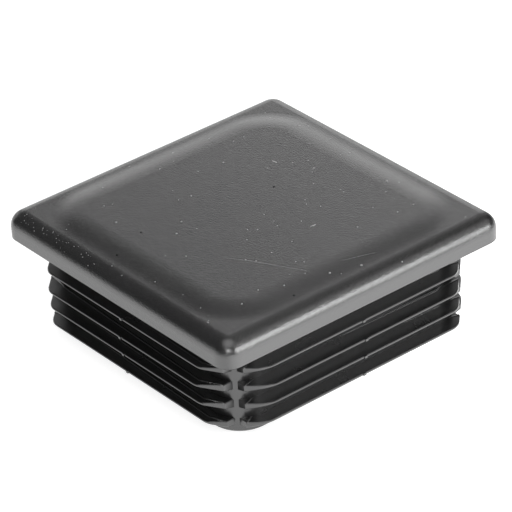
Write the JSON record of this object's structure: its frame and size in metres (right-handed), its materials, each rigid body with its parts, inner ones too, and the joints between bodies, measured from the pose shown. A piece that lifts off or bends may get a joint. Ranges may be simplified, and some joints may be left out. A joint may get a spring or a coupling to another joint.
{
  "type": "tube end cap",
  "caption": "Square ribbed insert cap that closes the end of a square tube, with a low crowned head.",
  "frame": {"origin": "middle of the head's underside, in the plane where the end of the tube seats", "axes": "+Z out of the tube through the head, square to it +X and +Y through the middles of two sides; the insert hangs below"},
  "size_m": [0.06, 0.06, 0.0226],
  "materials": {
    "black_plastic": "fine spark-eroded satin on the head, smoother and glossier on the insert"
  },
  "bodies": {
    "root": {"end_cap": "black_plastic"}
  },
  "joints": []
}
